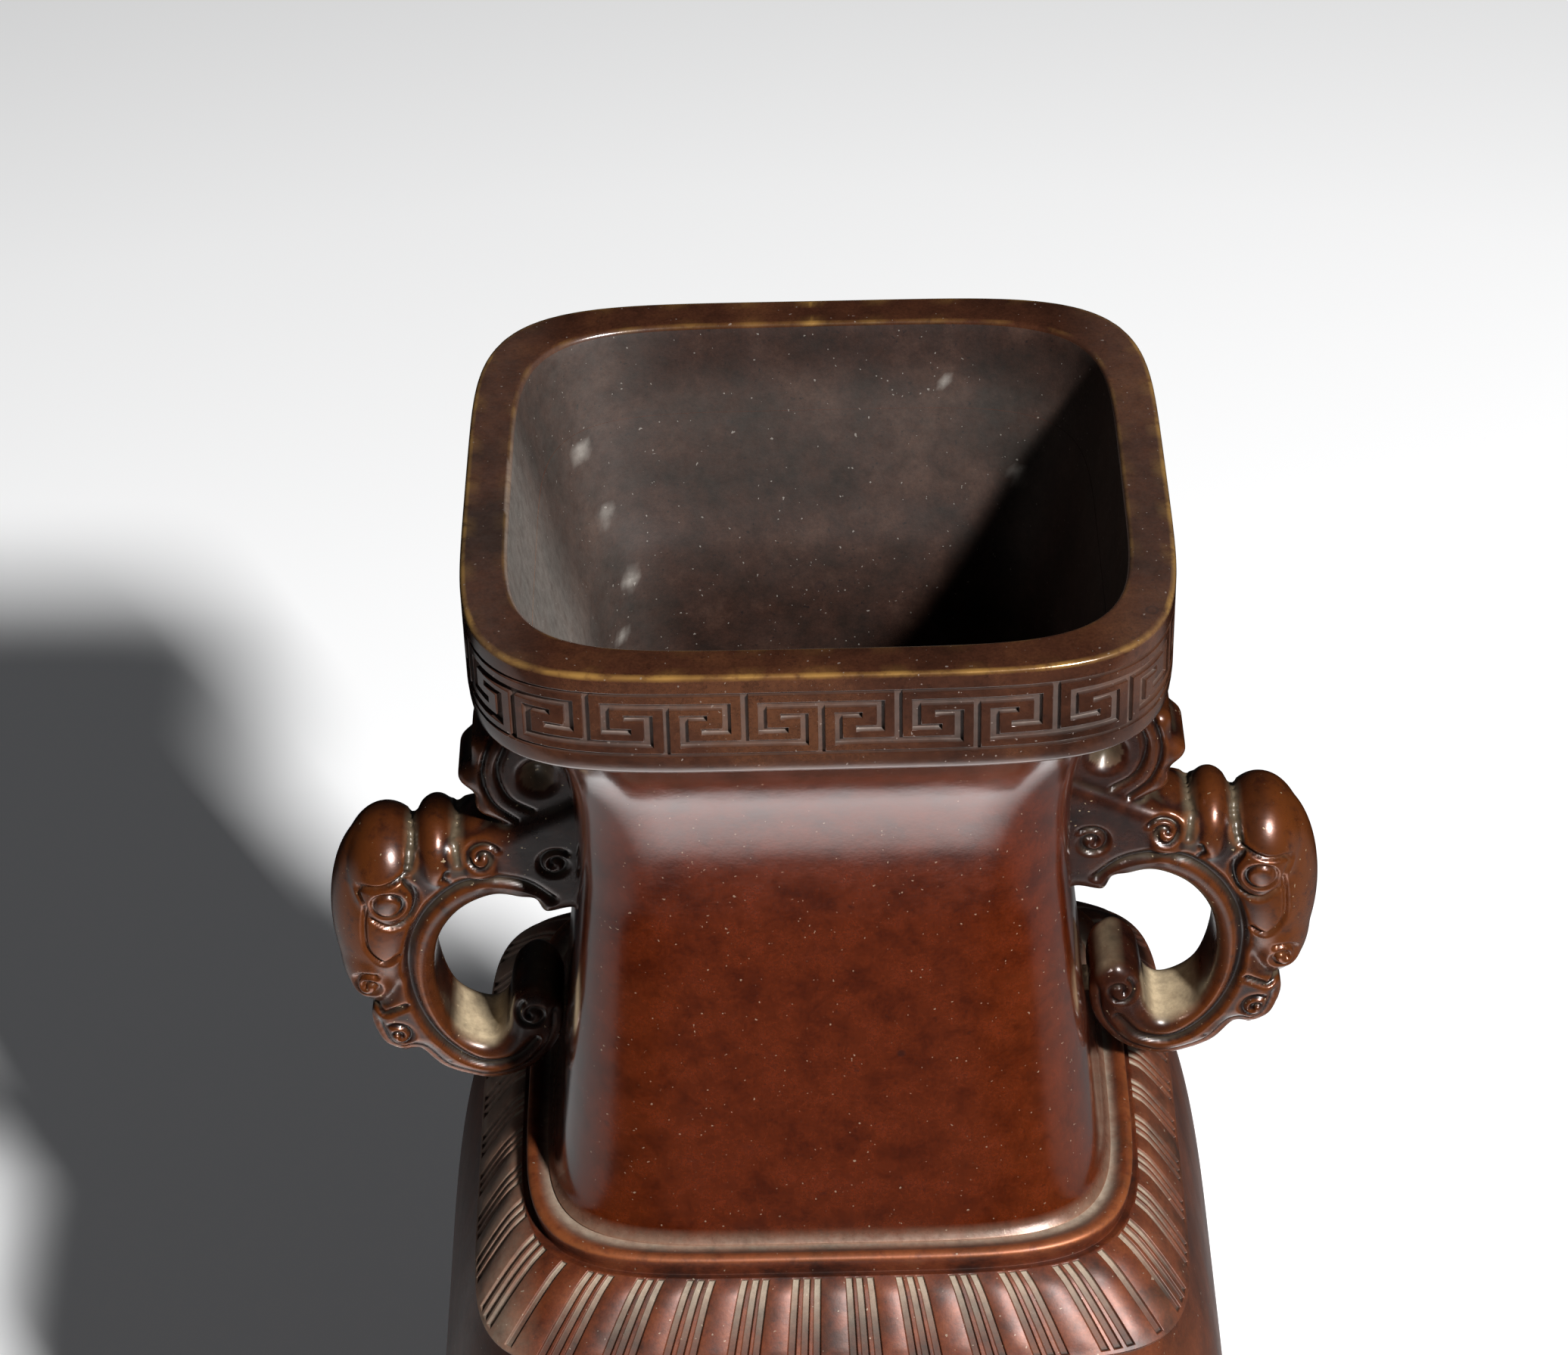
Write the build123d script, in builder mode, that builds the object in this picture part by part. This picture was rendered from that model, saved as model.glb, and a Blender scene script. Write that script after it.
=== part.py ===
from build123d import *

import os
from math import cos, radians, sin

# A bronze vase of rounded square plan, with two beast head loop handles.
# The origin is under the middle of the foot, +Z is up, +Y is away from the front
# and the handles stand on the left (-X) and on the right (+X). Millimetres.

# Whole vase
mouth_width = 120.0
mouth_depth = 110.0
wall = 3.6
joint_clearance = 0.2

# Plan: four slightly bowed sides with round corners, at every height
side_bow_share = 0.045
corner_radius_share = 0.3

# Heights of the five stacked castings, from the table up
foot_height = 62.0
belly_height = 166.4
shoulder_height = 15.2
neck_height = 115.8
collar_height = 20.6

# Foot
foot_width = 116.0
foot_waist_width = 93.0
foot_top_width = 102.0
foot_band_height = 22.0
foot_waist_rise = 26.0
foot_moulding_height = 7.0
rim_rounding = 1.2

# Base plate, let into the underside of the foot
plate_thickness = 3.0
plate_setback = 3.0
plate_ledge_width = 4.0
plate_ledge_thickness = 3.5

# Belly
belly_width = 154.0
belly_top_width = 130.4
belly_bottom_width = 97.0
belly_widest_rise = 84.0
spigot_height = 4.0
spigot_thickness = 1.6

# Shoulder: a flat ledge over a skirt of petals
ledge_width = 112.8
ledge_height = 5.7
ledge_rounding = 0.6
skirt_width = 133.4
petal_edge_thickness = 1.6
neck_seat_depth = 2.4

# Neck
neck_foot_width = 103.0
neck_waist_width = 87.8
neck_top_width = 103.8
neck_waist_rise = 74.0

# Mouth collar
lip_width = 7.8
collar_undercut = 1.05
collar_band_height = 17.0
lip_rounding = 0.8

# Handles
handles_width = 181.2
handle_thickness = 16.4
handle_height = 73.3
handle_drop = 36.4
left_handle_settle = 2.5
curl_radius = 10.5
curl_thickness = 13.0
curl_rounding = 1.3
curl_hole_radius = 4.2
curl_reach = 9.6
curl_drop = 2.5
curl_hole_offset = 3.0
tip_scroll_radius = 4.2
tip_scroll_relief = 0.4

# Riveted pins that hold the handles
pin_radius = 2.4
pin_head_radius = 4.4
pin_head_thickness = 1.6
pin_seat_depth = 1.0
pin_depth = 6.0
pin_clearance = 0.03
pin_drop_shares = (0.24, 0.81)

# Plugs of the casting's core pins, in the back wall of the neck
plug_radius = 1.3
plug_clearance = 0.03

# Shapes, as shares of the sizes that they follow.
# Each row of a stack is (share of the height, share of the way from waist to end).
foot_flare_shares = ((0.0, 1.0), (0.16, 0.66), (0.4, 0.33), (0.7, 0.09), (1.0, 0.0))
belly_low_shares = ((0.0, 0.0), (0.16, 0.35), (0.36, 0.645), (0.64, 0.89), (1.0, 1.0))
belly_high_shares = ((0.0, 1.0), (0.3, 0.955), (0.55, 0.8), (0.78, 0.49), (1.0, 0.0))
neck_low_shares = ((0.0, 1.0), (0.16, 0.73), (0.37, 0.49), (0.64, 0.22), (0.88, 0.03), (1.0, 0.0))
neck_high_shares = ((0.0, 0.0), (0.27, 0.05), (0.5, 0.31), (0.68, 0.62), (0.84, 0.83), (1.0, 1.0))
skirt_steps = 5

# Outlines of a handle: (share of the reach out from the waist, share of the height down).
handle_back_shares = (
    (-0.1, 0.08), (0.13, 0.1), (0.31, 0.16), (0.48, 0.2), (0.62, 0.22), (0.78, 0.23),
    (0.91, 0.32), (0.97, 0.5), (0.955, 0.68), (0.885, 0.79), (0.84, 0.875), (0.7, 0.925),
    (0.44, 1.0), (0.25, 0.965), (0.13, 0.89), (0.1, 0.8), (0.13, 0.715), (0.205, 0.685),
)
handle_loop_shares = (
    (0.205, 0.685), (0.28, 0.715), (0.31, 0.77), (0.34, 0.835), (0.42, 0.87), (0.57, 0.8),
    (0.64, 0.64), (0.6, 0.51), (0.49, 0.41), (0.33, 0.364), (0.2, 0.385), (0.165, 0.433),
)
tip_scroll_share = (0.2, 0.775)

# Round lobes of a handle: (share of the reach out, share of the height down) of the middle,
# then half the lobe's width as a share of the reach and half its height as a share of the height.
dome_half_shares = (0.21145, 0.312)
dome_place_share = (1 - dome_half_shares[0], 0.47)
ridge_half_shares = (0.0881, 0.11757)
ridge_place_shares = ((0.3789, 0.27524), (0.5286, 0.27524))

# Rounding of a handle's edges, as shares of its reach and of its height: the smaller one holds
handle_rounding_shares = (0.0794, 0.0498)

# Plugs: (share of the neck's half width there, share of the neck's height down from its top).
plug_places_shares = ((-0.73, 0.047), (-0.78, 0.15), (0.76, 0.03), (0.667, 0.133))

# Derived heights
depth_difference = (mouth_width - mouth_depth) / 2
belly_bottom = foot_height
shoulder_bottom = belly_bottom + belly_height
shoulder_top = shoulder_bottom + shoulder_height
neck_top = shoulder_top + neck_height
mouth_top = neck_top + collar_height
neck_bottom = shoulder_top - neck_seat_depth
waist_half = neck_waist_width / 2
handle_reach = handles_width / 2 - waist_half
reach_rounding_share, height_rounding_share = handle_rounding_shares
handle_rounding = min(reach_rounding_share * handle_reach, height_rounding_share * handle_height)
handle_top = neck_top - handle_drop


def plan(height, half_width):
    """The vase's plan at one height: bowed sides with round corners."""
    half_depth = half_width - depth_difference
    bow = side_bow_share * half_width
    corner_x = half_width - bow
    corner_y = half_depth - bow
    with BuildSketch(Plane.XY.offset(height)) as section:
        with BuildLine():
            ThreePointArc((corner_x, -corner_y), (half_width, 0), (corner_x, corner_y))
            ThreePointArc((corner_x, corner_y), (0, half_depth), (-corner_x, corner_y))
            ThreePointArc((-corner_x, corner_y), (-half_width, 0), (-corner_x, -corner_y))
            ThreePointArc((-corner_x, -corner_y), (0, -half_depth), (corner_x, -corner_y))
        make_face()
        fillet(section.vertices(), radius=corner_radius_share * half_width)
    return section.sketch


def stack(shares, bottom, rise, start_half, end_half, inset=0):
    """Plans up one curved stretch, from its shares."""
    rows = [(bottom + up * rise, start_half + out * (end_half - start_half)) for up, out in shares]
    return [plan(height, half - inset) for height, half in rows]


def ring(bottom, top, outer_half, inner_half):
    """A straight ring between two heights, added to the part being built."""
    extrude(plan(bottom, outer_half), amount=top - bottom)
    extrude(plan(bottom, inner_half), amount=top - bottom, mode=Mode.SUBTRACT)


os.makedirs("parts", exist_ok=True)

# Foot: a spreading casting with a flat band below, a waist and a moulding on top
foot_half = foot_width / 2
foot_waist_half = foot_waist_width / 2
foot_flare_top = foot_band_height + foot_waist_rise
foot_moulding_bottom = foot_height - foot_moulding_height
belly_bottom_half = belly_bottom_width / 2
plate_top = plate_setback + plate_thickness
plate_half = foot_half - wall
plate_ledge_top = plate_top + plate_ledge_thickness
hollow_bottom = foot_band_height - wall
hollow_top = foot_flare_top - wall
hollow_half = foot_waist_half - wall
foot_rebate_half = belly_bottom_half - wall + spigot_thickness + joint_clearance

with BuildPart() as foot:
    extrude(plan(0, foot_half), amount=foot_band_height)
    chamfer(foot.edges().group_by(Axis.Z)[0], length=rim_rounding)
    loft(stack(foot_flare_shares, foot_band_height, foot_waist_rise, foot_waist_half, foot_half - rim_rounding))
    loft([plan(foot_flare_top, foot_waist_half), plan(foot_moulding_bottom, foot_waist_half + rim_rounding)])
    extrude(plan(foot_moulding_bottom, foot_top_width / 2), amount=foot_moulding_height)
    chamfer(foot.edges().group_by(Axis.Z)[-1], length=rim_rounding)
    extrude(plan(0, plate_half), amount=plate_top, mode=Mode.SUBTRACT)
    extrude(plan(plate_top, plate_half - plate_ledge_width), amount=plate_ledge_thickness, mode=Mode.SUBTRACT)
    extrude(plan(plate_ledge_top, plate_half), amount=hollow_bottom - plate_ledge_top, mode=Mode.SUBTRACT)
    hollow_plans = stack(foot_flare_shares, hollow_bottom, foot_waist_rise, hollow_half, plate_half)
    loft(hollow_plans, mode=Mode.SUBTRACT)
    extrude(plan(hollow_top, hollow_half), amount=foot_height - hollow_top, mode=Mode.SUBTRACT)
    extrude(plan(foot_height - spigot_height, foot_rebate_half), amount=spigot_height, mode=Mode.SUBTRACT)
foot.part.label = "foot"
export_step(foot.part, "parts/foot.step")

# Base plate: soldered up against the ledge inside the foot
with BuildPart() as base_plate:
    extrude(plan(plate_setback, plate_half - joint_clearance), amount=plate_thickness)
base_plate.part.label = "base_plate"
export_step(base_plate.part, "parts/base_plate.step")

# Belly: the full body, with a spigot down into the foot and one up into the shoulder
belly_half = belly_width / 2
belly_top_half = belly_top_width / 2
belly_widest = belly_bottom + belly_widest_rise
belly_high_rise = belly_height - belly_widest_rise


def belly_stack(inset):
    """Plans up the belly, set in by one distance."""
    low = stack(belly_low_shares, belly_bottom, belly_widest_rise, belly_bottom_half, belly_half, inset)
    high = stack(belly_high_shares, belly_widest, belly_high_rise, belly_top_half, belly_half, inset)
    return low + high[1:]


with BuildPart() as belly:
    loft(belly_stack(0))
    loft(belly_stack(wall), mode=Mode.SUBTRACT)
    low_spigot_half = belly_bottom_half - wall
    ring(belly_bottom - spigot_height, belly_bottom, low_spigot_half + spigot_thickness, low_spigot_half)
    high_spigot_half = belly_top_half - wall
    high_spigot_top = shoulder_bottom + spigot_height
    ring(shoulder_bottom, high_spigot_top, high_spigot_half + spigot_thickness, high_spigot_half)
belly.part.label = "belly"
export_step(belly.part, "parts/belly.step")

# Shoulder: the ledge and the skirt of petals, in one ring that carries the neck
ledge_half = ledge_width / 2
skirt_half = skirt_width / 2
ledge_bottom = shoulder_top - ledge_height
skirt_drop = shoulder_height - ledge_height - petal_edge_thickness
neck_foot_half = neck_foot_width / 2
skirt_plans = []
for step in range(skirt_steps + 1):
    turn = radians(90 * step / skirt_steps)
    skirt_plan_half = ledge_half + (skirt_half - ledge_half) * sin(turn)
    skirt_plans.append(plan(ledge_bottom - skirt_drop * (1 - cos(turn)), skirt_plan_half))

with BuildPart() as shoulder:
    extrude(plan(ledge_bottom, ledge_half), amount=ledge_height)
    fillet(shoulder.edges().group_by(Axis.Z)[-1], radius=ledge_rounding)
    loft(skirt_plans)
    extrude(plan(shoulder_bottom, skirt_half), amount=petal_edge_thickness)
    extrude(plan(neck_bottom, neck_foot_half + joint_clearance), amount=neck_seat_depth, mode=Mode.SUBTRACT)
    loft([plan(high_spigot_top, high_spigot_half), plan(neck_bottom, neck_foot_half - wall)], mode=Mode.SUBTRACT)
    shoulder_rebate_half = high_spigot_half + spigot_thickness + joint_clearance
    extrude(plan(shoulder_bottom, shoulder_rebate_half), amount=spigot_height, mode=Mode.SUBTRACT)
shoulder.part.label = "shoulder"
export_step(shoulder.part, "parts/shoulder.step")

# Neck: a waisted tube that stands in the shoulder's seat, with a spigot up into the collar
neck_top_half = neck_top_width / 2
neck_spigot_half = neck_top_half - wall
neck_waist = shoulder_top + neck_waist_rise
neck_high_rise = neck_height - neck_waist_rise


def neck_rows(inset):
    """Heights and half widths up the neck, set in by one distance."""
    low = [
        (shoulder_top + up * neck_waist_rise, waist_half + out * (neck_foot_half - waist_half) - inset)
        for up, out in neck_low_shares
    ]
    high = [
        (neck_waist + up * neck_high_rise, waist_half + out * (neck_top_half - waist_half) - inset)
        for up, out in neck_high_shares
    ]
    return low + high[1:]


def neck_half_at(height):
    """The neck's outer half width at one height."""
    rows = neck_rows(0)
    for (low, low_half), (high, high_half) in zip(rows, rows[1:]):
        if low <= height <= high:
            return low_half + (high_half - low_half) * (height - low) / (high - low)


with BuildPart() as neck_wall:
    loft([plan(height, half) for height, half in neck_rows(0)])
    extrude(plan(neck_bottom, neck_foot_half), amount=neck_seat_depth)
    loft([plan(height, half) for height, half in neck_rows(wall)], mode=Mode.SUBTRACT)
    extrude(plan(neck_bottom, neck_foot_half - wall), amount=neck_seat_depth, mode=Mode.SUBTRACT)
    ring(neck_top, neck_top + spigot_height, neck_spigot_half + spigot_thickness, neck_spigot_half)

# Mouth collar: the band under the flat lip, slipped over the neck's spigot
mouth_half = mouth_width / 2
lip_half = mouth_half - lip_width

with BuildPart() as mouth_collar:
    loft([plan(neck_top, mouth_half - collar_undercut), plan(mouth_top - collar_band_height, mouth_half)])
    extrude(plan(mouth_top - collar_band_height, mouth_half), amount=collar_band_height)
    fillet(mouth_collar.edges().group_by(Axis.Z)[-1], radius=lip_rounding)
    collar_rebate_top = neck_top + spigot_height
    loft([plan(collar_rebate_top, neck_spigot_half), plan(mouth_top, lip_half)], mode=Mode.SUBTRACT)
    collar_rebate_half = neck_spigot_half + spigot_thickness + joint_clearance
    extrude(plan(neck_top, collar_rebate_half), amount=spigot_height, mode=Mode.SUBTRACT)
mouth_collar.part.label = "mouth_collar"
export_step(mouth_collar.part, "parts/mouth_collar.step")

# Core pin plugs: short round plugs that close the casting's pin holes in the back wall


def plug_bars(radius, mode):
    """Round bars through the neck's back wall, one at each plug."""
    for across_share, down_share in plug_places_shares:
        height = neck_top - down_share * neck_height
        with BuildSketch(Plane.XZ) as plug_section:
            with Locations((across_share * neck_half_at(height), height)):
                Circle(radius)
        extrude(plug_section.sketch, amount=-neck_top_half, mode=mode)


with BuildPart() as core_plugs:
    plug_bars(plug_radius, Mode.ADD)
    add(neck_wall.part, mode=Mode.INTERSECT)
core_plugs.part.label = "core_plugs"
export_step(core_plugs.part, "parts/core_plugs.step")

# Handles: a beast's head with a round forehead, whose trunk curls under as a loop
half_thickness = handle_thickness / 2


def handle_place(out_share, down_share):
    """A place on the right handle, in the plane of its loop: (x, z)."""
    return (waist_half + out_share * handle_reach, handle_top - down_share * handle_height)


def lobe(place_share, half_shares, direction):
    """A round lobe in the plane of the loop, turned about one of its own axes."""
    x, z = handle_place(*place_share)
    half_x = half_shares[0] * handle_reach
    half_z = half_shares[1] * handle_height
    first_angle = -90 if direction[2] else 0
    with BuildSketch(Plane.XZ) as half_profile:
        with BuildLine():
            arc = EllipticalCenterArc((x, z), half_x, half_z, first_angle, arc_size=180)
            Line(arc @ 0, arc @ 1)
        make_face()
    revolve(half_profile.sketch, axis=Axis((x, 0, z), direction))


def pin_height(share):
    """Height of a handle pin's axis."""
    return handle_top - share * handle_height


# The room that the neck takes, with the clearance of the handles' seats
with BuildPart() as neck_keepout:
    loft([plan(height, half) for height, half in neck_rows(-joint_clearance)])

# The mane's curl that stands on the handle's root, beside the neck
curl_x = waist_half + curl_reach
curl_z = handle_top - curl_drop

with BuildPart() as curl:
    with BuildSketch(Plane.XZ):
        with Locations((curl_x, curl_z)):
            Circle(curl_radius)
        with Locations((curl_x - curl_hole_offset, curl_z + curl_hole_offset / 2)):
            Circle(curl_hole_radius, mode=Mode.SUBTRACT)
    extrude(amount=curl_thickness / 2, both=True)
    curl_edges = curl.edges().group_by(Axis.Y)
    fillet(curl_edges[0] + curl_edges[-1], radius=curl_rounding)


def loop_handle(settle):
    """The right hand handle, set lower by a small distance."""
    with BuildPart() as handle:
        with BuildSketch(Plane.XZ):
            with BuildLine():
                Spline([handle_place(*share) for share in handle_back_shares])
                Spline([handle_place(*share) for share in handle_loop_shares])
                Polyline(
                    handle_place(*handle_loop_shares[-1]),
                    handle_place(handle_back_shares[0][0], handle_loop_shares[-1][1]),
                    handle_place(*handle_back_shares[0]),
                )
            make_face()
        extrude(amount=half_thickness, both=True)
        across = handle.edges().group_by(Axis.Y)
        fillet(across[0] + across[-1], radius=handle_rounding)
        add(curl.part)
        lobe(dome_place_share, dome_half_shares, (0, 0, 1))
        for ridge_place_share in ridge_place_shares:
            lobe(ridge_place_share, ridge_half_shares, (1, 0, 0))
        with BuildSketch(Plane.XZ):
            with Locations(handle_place(*tip_scroll_share)):
                Circle(tip_scroll_radius)
        extrude(amount=half_thickness + tip_scroll_relief, both=True)
        with Locations((0, 0, settle)):
            add(neck_keepout.part, mode=Mode.SUBTRACT)
        for share in pin_drop_shares:
            height = pin_height(share)
            pin_end = neck_half_at(height - settle) + pin_depth + joint_clearance
            with BuildSketch(Plane.YZ):
                with Locations((0, height)):
                    Circle(pin_radius + pin_clearance)
            extrude(amount=pin_end, mode=Mode.SUBTRACT)
    return handle.part.moved(Location((0, 0, -settle)))


with BuildPart() as right_handle:
    add(loop_handle(0))
right_handle.part.label = "right_handle"
export_step(right_handle.part, "parts/right_handle.step")

with BuildPart() as left_handle:
    add(loop_handle(left_handle_settle).rotate(Axis.Z, 180))
left_handle.part.label = "left_handle"
export_step(left_handle.part, "parts/left_handle.step")


def riveted_pin(height, side):
    """A pin along X, with its round head inside the neck, on one side of the vase."""
    seat_x = neck_half_at(height) - wall + pin_seat_depth
    pin_end = neck_half_at(height) + pin_depth
    with BuildSketch(Plane.YZ.offset(side * seat_x)) as shank:
        with Locations((0, height)):
            Circle(pin_radius)
    extrude(shank.sketch, amount=side * (pin_end - seat_x))
    with BuildSketch(Plane.YZ.offset(side * seat_x)) as head:
        with Locations((0, height)):
            Circle(pin_head_radius)
    extrude(head.sketch, amount=-side * pin_head_thickness)


pin_sides = ((1, 0), (-1, left_handle_settle))
upper_share, lower_share = pin_drop_shares

with BuildPart() as upper_handle_pins:
    for side, settle in pin_sides:
        riveted_pin(pin_height(upper_share) - settle, side)
upper_handle_pins.part.label = "upper_handle_pins"
export_step(upper_handle_pins.part, "parts/upper_handle_pins.step")

with BuildPart() as lower_handle_pins:
    for side, settle in pin_sides:
        riveted_pin(pin_height(lower_share) - settle, side)
lower_handle_pins.part.label = "lower_handle_pins"
export_step(lower_handle_pins.part, "parts/lower_handle_pins.step")

# The neck's holes for the plugs and the pins, with a flat seat for each pin's head
with BuildPart() as neck:
    add(neck_wall.part)
    plug_bars(plug_radius + plug_clearance, Mode.SUBTRACT)
    for share in pin_drop_shares:
        for side, settle in pin_sides:
            height = pin_height(share) - settle
            with BuildSketch(Plane.YZ) as pin_hole:
                with Locations((0, height)):
                    Circle(pin_radius + pin_clearance)
            extrude(pin_hole.sketch, amount=side * neck_top_half, mode=Mode.SUBTRACT)
            with BuildSketch(Plane.YZ) as head_seat:
                with Locations((0, height)):
                    Circle(pin_head_radius + joint_clearance)
            seat_x = neck_half_at(height) - wall + pin_seat_depth
            extrude(head_seat.sketch, amount=side * seat_x, mode=Mode.SUBTRACT)
neck.part.label = "neck"
export_step(neck.part, "parts/neck.step")
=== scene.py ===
import bpy
import numpy as np
from mathutils import Matrix, Vector


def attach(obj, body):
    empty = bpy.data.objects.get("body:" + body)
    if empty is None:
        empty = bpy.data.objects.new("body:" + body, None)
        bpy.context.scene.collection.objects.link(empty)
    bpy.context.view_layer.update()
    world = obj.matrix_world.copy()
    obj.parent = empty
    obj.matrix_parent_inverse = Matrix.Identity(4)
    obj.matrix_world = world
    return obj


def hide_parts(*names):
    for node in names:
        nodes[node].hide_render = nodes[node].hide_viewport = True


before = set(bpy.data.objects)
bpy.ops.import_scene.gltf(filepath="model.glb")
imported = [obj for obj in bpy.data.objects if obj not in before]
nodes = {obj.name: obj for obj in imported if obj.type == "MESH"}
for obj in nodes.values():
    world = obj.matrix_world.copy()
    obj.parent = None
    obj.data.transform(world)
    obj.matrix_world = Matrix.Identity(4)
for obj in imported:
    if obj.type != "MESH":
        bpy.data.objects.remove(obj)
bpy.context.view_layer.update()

bpy.ops.object.select_all(action="DESELECT")

# Foot: a ring of cast bronze, of rounded square plan, that carries the vase and stands on its rim.
# Its lower band is cut with the same key fret as the mouth, and above the band it narrows to a
# waist under a moulding.
MM = 0.001
mouth_half = 60.0
depth_less = 5.0
plan_power = 5.0
unevenness = 0.035
fret_turn = 25.0
fret_turns = 16
round_plan = fret_turn * fret_turns
fret_depth = 0.9
fret_dust = 0.18
smooth_angle = 0.7
fret_lines_down = (3.5, 4.2, 5.6, 7.0, 8.0, 9.2, 10.8, 12.0, 13.3, 14.7, 15.9, 16.6)
fret_lines_across = (0.6, 2.05, 3.5, 5.5, 6.6, 8.9, 10.35, 11.9)

# The grooves of half a turn of the fret, as (left, right, top, bottom) in millimetres.
fret_grooves = (
    (0.0, 12.5, 3.5, 4.2),
    (0.0, 12.5, 15.9, 16.6),
    (0.0, 0.6, 5.6, 15.9),
    (11.9, 12.5, 4.2, 14.7),
    (0.0, 10.35, 5.6, 7.0),
    (8.9, 10.35, 7.0, 12.0),
    (5.5, 8.9, 10.8, 12.0),
    (2.05, 12.5, 13.3, 14.7),
    (2.05, 3.5, 8.0, 13.3),
    (3.5, 6.6, 8.0, 9.2),
)


def smooth_line(points, steps):
    """A smooth curve through (half width, height) points, with a few steps between each two."""
    points = np.array(points, float)
    slopes = np.gradient(points, axis=0)
    parts = []
    for first, last, slope_first, slope_last in zip(points, points[1:], slopes, slopes[1:]):
        t = np.linspace(0, 1, steps, endpoint=False)[:, None]
        parts.append(
            (1 + 2 * t) * (1 - t) ** 2 * first + t * (1 - t) ** 2 * slope_first
            + t**2 * (3 - 2 * t) * last + t**2 * (t - 1) * slope_last
        )
    return [*map(tuple, np.vstack(parts)), tuple(points[-1])]


def rounded(corners, steps=5):
    """The closed outline of a ring's section from (half width, height, rounding) corners."""
    line = []
    for i, corner in enumerate(corners):
        here = np.array(corner[:2], float)
        rounding = corner[2] if len(corner) > 2 else 0
        if not rounding:
            line.append(here)
            continue
        before = np.array(corners[i - 1][:2], float) - here
        after = np.array(corners[(i + 1) % len(corners)][:2], float) - here
        start = here + before * min(rounding / np.linalg.norm(before), 0.49)
        end = here + after * min(rounding / np.linalg.norm(after), 0.49)
        for t in np.linspace(0, 1, steps):
            line.append((1 - t) ** 2 * start + 2 * t * (1 - t) * here + t**2 * end)
    line.append(line[0])
    return np.array(line)


def walked(section):
    """How far each point of a section lies along it."""
    return np.concatenate([[0], np.cumsum(np.linalg.norm(np.diff(section, axis=0), axis=1))])


def stations(section, extra=(), longest=2.5, closest=0.12):
    """Where a sheet has its rows: the section's own points, those given, and more in long gaps."""
    places = sorted([*walked(section), *extra])
    kept = [places[0]]
    for place in places[1:]:
        if place - kept[-1] < closest:
            if place in extra or place == places[-1]:
                kept[-1] = place if len(kept) > 1 else kept[-1]
            continue
        count = int(np.ceil((place - kept[-1]) / longest))
        kept.extend(np.linspace(kept[-1], place, count + 1)[1:])
    return kept


def flat_sheet(name, across, along):
    """A flat sheet of faces with a line at each of these places, before it is bent round."""
    bpy.ops.object.select_all(action="DESELECT")
    bpy.ops.mesh.primitive_grid_add(x_subdivisions=len(across) - 1, y_subdivisions=len(along) - 1, size=1)
    sheet = bpy.context.object
    sheet.name = name
    sheet.data.name = name
    columns, rows = np.meshgrid(across, along)
    flat = np.stack([columns.ravel(), rows.ravel(), np.zeros(columns.size)], axis=1) * MM
    sheet.data.vertices.foreach_set("co", flat.ravel())
    return sheet


def places_of(sheet):
    """The places of a mesh's vertices, one row each, in metres."""
    places = np.empty(len(sheet.data.vertices) * 3)
    sheet.data.vertices.foreach_get("co", places)
    return places.reshape(-1, 3)


def sink_faces(sheet, chosen, depth, slope, dusty):
    """Cuts the chosen faces into the sheet; dusty(y) is how much dust their floors hold."""
    bpy.ops.object.mode_set(mode="EDIT")
    bpy.ops.mesh.select_mode(type="FACE")
    bpy.ops.object.mode_set(mode="OBJECT")
    sheet.data.polygons.foreach_set("select", chosen)
    bpy.ops.object.mode_set(mode="EDIT")
    bpy.ops.mesh.inset(thickness=slope * MM, depth=-depth * MM, use_boundary=False)
    bpy.ops.object.mode_set(mode="OBJECT")
    places = places_of(sheet) / MM
    sunk = np.clip(-places[:, 2] / depth - 0.1, 0, 1) * dusty(places[:, 1])
    sheet.data.attributes.new("groove", "FLOAT", "POINT").data.foreach_set("value", sunk.astype(np.float32))


def face_middles(sheet):
    """The middle of each face of a flat sheet, in millimetres."""
    middles = np.empty(len(sheet.data.polygons) * 3)
    sheet.data.polygons.foreach_get("center", middles)
    return middles.reshape(-1, 3) / MM


def fret_columns():
    """The lines across the sheet that the fret needs, slightly uneven as cut by hand."""
    hand = np.random.default_rng(11)
    slip = 0.1
    half = round_plan / 2
    lines = []
    for turn in range(fret_turns + 1):
        middle = turn * fret_turn - half
        for line in fret_lines_across:
            lines.append(middle + line + hand.uniform(-slip, slip))
            lines.append(middle - line + hand.uniform(-slip, slip))
    least_gap = 0.3
    return [-half, *sorted(line for line in lines if abs(line) < half - least_gap), half]


def cut_fret(sheet, top_at):
    """Cuts the key fret into a flat sheet whose face has its top edge at this place along it."""
    middles = face_middles(sheet)
    turn = np.abs((middles[:, 0] + fret_turn / 2) % fret_turn - fret_turn / 2)
    down = top_at - middles[:, 1]
    room = 0.15
    chosen = np.zeros(len(middles), bool)
    for left, right, top, bottom in fret_grooves:
        chosen |= (turn > left - room) & (turn < right + room) & (down > top) & (down < bottom)
    sink_faces(sheet, chosen, fret_depth, slope=0.06, dusty=lambda along: fret_dust)


def wear_edges(piece, width):
    """Rounds the sharp edges of a piece as hands and polishing do."""
    bevel = piece.modifiers.new("worn edges", "BEVEL")
    bevel.width = width * MM
    bevel.segments = 2
    bevel.limit_method = "ANGLE"
    bevel.angle_limit = 0.6
    bpy.context.view_layer.objects.active = piece
    bpy.ops.object.modifier_apply(modifier=bevel.name)
    bpy.ops.object.shade_smooth_by_angle(angle=smooth_angle)


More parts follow.
